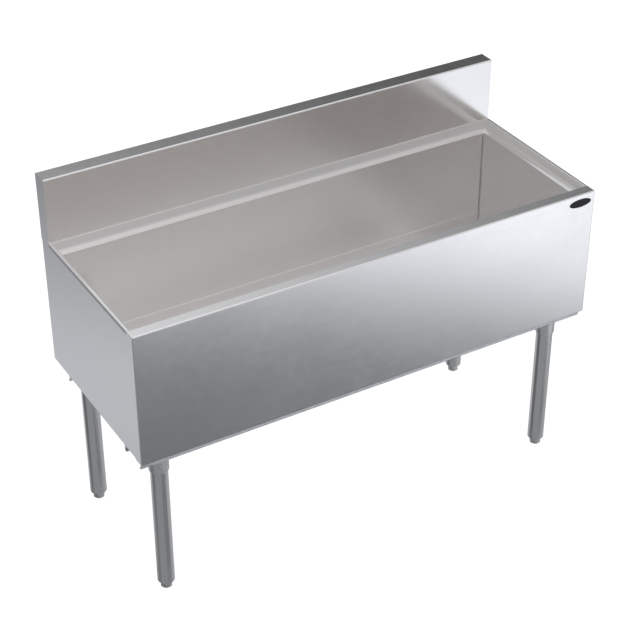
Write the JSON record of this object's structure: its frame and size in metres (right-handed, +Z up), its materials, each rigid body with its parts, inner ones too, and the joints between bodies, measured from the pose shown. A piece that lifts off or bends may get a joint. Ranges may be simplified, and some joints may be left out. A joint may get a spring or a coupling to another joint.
{
  "type": "underbar ice bin",
  "caption": "Insulated stainless underbar ice bin: open rectangular tub with a flat front rim, coved side and rear rim and boxed backsplash, on tubular legs with levelling feet.",
  "frame": {"origin": "on the floor, under the middle of the overall box", "axes": "+X along the width to the right as seen from the front, +Y from the front to the wall, +Z up"},
  "size_m": [1.2192, 0.4834, 0.9316],
  "materials": {
    "stainless": "satin",
    "liner_stainless": "satin",
    "galvanised": "matte",
    "socket_steel": "satin",
    "leg_tube": "satin",
    "foot_metal": "satin",
    "fasteners": "satin",
    "drain_metal": "polished",
    "foam": "matte",
    "rubber": "matte",
    "nameplate": "gloss"
  },
  "bodies": {
    "bin": {"backsplash": "stainless", "backsplash_brace": "galvanised", "bin_liner": "liner_stainless", "blank_nameplate": "nameplate", "bottom_pan": "galvanised", "drain_fitting": "drain_metal", "drain_gasket": "rubber", "drain_grommet": "rubber", "drain_locknut": "drain_metal", "floor_insulation": "foam", "foot_insert_front_left": "foot_metal", "foot_insert_front_right": "foot_metal", "foot_insert_rear_left": "foot_metal", "foot_insert_rear_right": "foot_metal", "front_apron": "stainless", "front_insulation": "foam", "front_leg_channel": "galvanised", "left_insulation": "foam", "left_rim": "stainless", "left_side_panel": "stainless", "leg_front_left": "leg_tube", "leg_front_right": "leg_tube", "leg_rear_left": "leg_tube", "leg_rear_right": "leg_tube", "leg_set_screws": "fasteners", "leg_socket_bolts": "fasteners", "leg_socket_front_left": "socket_steel", "leg_socket_front_right": "socket_steel", "leg_socket_nuts": "fasteners", "leg_socket_rear_left": "socket_steel", "leg_socket_rear_right": "socket_steel", "rear_insulation": "foam", "rear_ledge": "stainless", "rear_leg_channel": "galvanised", "rear_panel": "galvanised", "rear_panel_screws": "fasteners", "right_insulation": "foam", "right_rim": "stainless", "right_side_panel": "stainless"},
    "foot_front_left": {"foot_front_left": "foot_metal"},
    "foot_front_right": {"foot_front_right": "foot_metal"},
    "foot_rear_left": {"foot_rear_left": "foot_metal"},
    "foot_rear_right": {"foot_rear_right": "foot_metal"},
    "drain_strainer": {"drain_strainer": "drain_metal"}
  },
  "joints": [
    {"name": "level_front_left", "type": "slide", "parent": "bin", "child": "foot_front_left", "axis": [0, 0, -1], "range_m": [0, 0.025]},
    {"name": "level_front_right", "type": "slide", "parent": "bin", "child": "foot_front_right", "axis": [0, 0, -1], "range_m": [0, 0.025]},
    {"name": "level_rear_left", "type": "slide", "parent": "bin", "child": "foot_rear_left", "axis": [0, 0, -1], "range_m": [0, 0.025]},
    {"name": "level_rear_right", "type": "slide", "parent": "bin", "child": "foot_rear_right", "axis": [0, 0, -1], "range_m": [0, 0.025]},
    {"name": "lift_strainer", "type": "slide", "parent": "bin", "child": "drain_strainer", "axis": [0, 0, 1], "range_m": [0, 0.3]}
  ]
}
